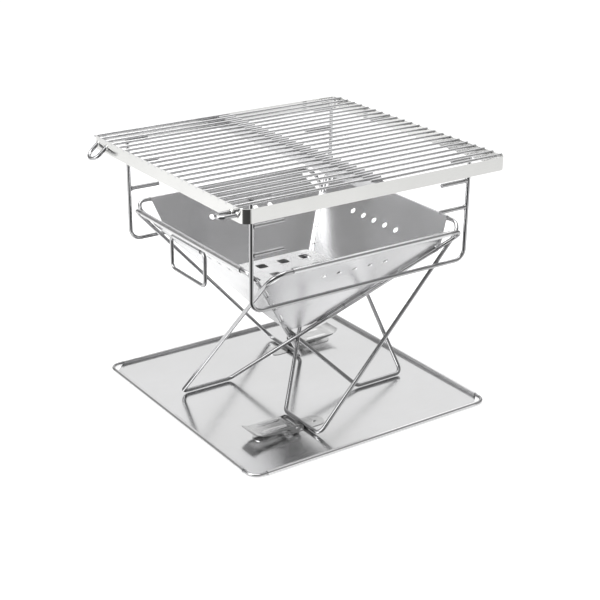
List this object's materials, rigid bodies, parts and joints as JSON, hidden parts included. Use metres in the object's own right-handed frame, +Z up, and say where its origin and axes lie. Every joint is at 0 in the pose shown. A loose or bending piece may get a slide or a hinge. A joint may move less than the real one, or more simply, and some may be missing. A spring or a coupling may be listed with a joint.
{
  "type": "folding camp grill",
  "caption": "Folding camp grill: four hinged sheet plates on crossed wire legs make a firebox over a square tray, with a charcoal bed, side bridges and a lift-off bar grate.",
  "frame": {"origin": "centre of the tray sheet's underside, on the ground", "axes": "+X to the right along the grate bars, +Y to the back, +Z up"},
  "size_m": [0.4648, 0.42, 0.38],
  "materials": {
    "sheet": "satin brushed stainless sheet",
    "tray": "satin rolled stainless sheet",
    "wire": "electropolished stainless wire",
    "bars": "electropolished stainless rod",
    "band": "polished stainless strip",
    "bed": "bright pressed stainless sheet",
    "latch": "polished pressed stainless"
  },
  "bodies": {
    "tray": {"base_tray": "tray", "tray_rim_wire": "wire", "front_latch_base": "latch", "back_latch_base": "latch", "front_latch_pin": "latch", "back_latch_pin": "latch", "front_latch_rivet": "latch", "back_latch_rivet": "latch"},
    "front_latch": {"front_latch_lever": "latch"},
    "back_latch": {"back_latch_lever": "latch"},
    "front_panel": {"front_plate": "sheet", "front_leg_loop": "wire"},
    "right_panel": {"right_plate": "sheet", "right_leg_loop": "wire", "open_corner_sleeves": "sheet"},
    "left_panel": {"left_plate": "sheet", "left_leg_loop": "wire", "handle_bracket": "sheet", "handle_spots": "sheet"},
    "back_panel": {"back_plate": "sheet", "back_leg_loop": "wire"},
    "carry_handle": {"carry_handle": "wire"},
    "bed": {"charcoal_bed": "bed"},
    "front_bridge": {"front_bridge": "wire", "front_bridge_stubs": "wire"},
    "back_bridge": {"back_bridge": "wire", "back_bridge_stubs": "wire"},
    "grate": {"grate_frame": "band", "grate_cross_strips": "band", "grate_bars_left": "bars", "grate_bars_right": "bars", "grate_front_ear": "wire", "grate_back_ear": "wire"}
  },
  "joints": [
    {"name": "right_panel_fold", "type": "hinge", "parent": "front_panel", "child": "right_panel", "pos_m": [0.1716, -0.181, 0.273], "axis": [-0.5593, 0.5593, -0.6118], "range_deg": [0, 56]},
    {"name": "left_panel_fold", "type": "hinge", "parent": "front_panel", "child": "left_panel", "pos_m": [-0.181, -0.1716, 0.273], "axis": [0.5593, 0.5593, -0.6118], "range_deg": [0, 56]},
    {"name": "back_panel_fold", "type": "hinge", "parent": "left_panel", "child": "back_panel", "pos_m": [-0.1716, 0.181, 0.273], "axis": [-0.5593, 0.5593, 0.6118], "range_deg": [0, 56]},
    {"name": "panel_lift", "type": "slide", "parent": "tray", "child": "front_panel", "axis": [0, 0, 1], "range_m": [0, 0.17593]},
    {"name": "bed_lift", "type": "slide", "parent": "tray", "child": "bed", "axis": [0, 0, 1], "range_m": [0, 0.53756]},
    {"name": "front_bridge_slide", "type": "slide", "parent": "tray", "child": "front_bridge", "axis": [0, -1, 0], "range_m": [0, 0.24435]},
    {"name": "back_bridge_slide", "type": "slide", "parent": "tray", "child": "back_bridge", "axis": [0, 1, 0], "range_m": [0, 0.24435]},
    {"name": "grate_lift", "type": "slide", "parent": "tray", "child": "grate", "axis": [0, 0, 1], "range_m": [0, 0.4105]},
    {"name": "handle_swing", "type": "hinge", "parent": "left_panel", "child": "carry_handle", "pos_m": [-0.16865, 0.02, 0.25719], "axis": [0, 1, 0], "range_deg": [0, 100]},
    {"name": "front_latch_hinge", "type": "hinge", "parent": "tray", "child": "front_latch", "pos_m": [-0.083, -0.115, 0.009], "axis": [0, 1, 0], "range_deg": [0, 95]},
    {"name": "back_latch_hinge", "type": "hinge", "parent": "tray", "child": "back_latch", "pos_m": [0.083, 0.115, 0.009], "axis": [0, -1, 0], "range_deg": [0, 95]}
  ],
  "couplings": [
    {"joint": "left_panel_fold", "follows": "right_panel_fold", "ratio": 1},
    {"joint": "back_panel_fold", "follows": "right_panel_fold", "ratio": 1},
    {"joint": "panel_lift", "follows": "right_panel_fold", "m_per_rad": 0.18},
    {"joint": "bed_lift", "follows": "right_panel_fold", "m_per_rad": 0.55},
    {"joint": "front_bridge_slide", "follows": "right_panel_fold", "m_per_rad": 0.25},
    {"joint": "back_bridge_slide", "follows": "right_panel_fold", "m_per_rad": 0.25},
    {"joint": "grate_lift", "follows": "right_panel_fold", "m_per_rad": 0.42}
  ]
}
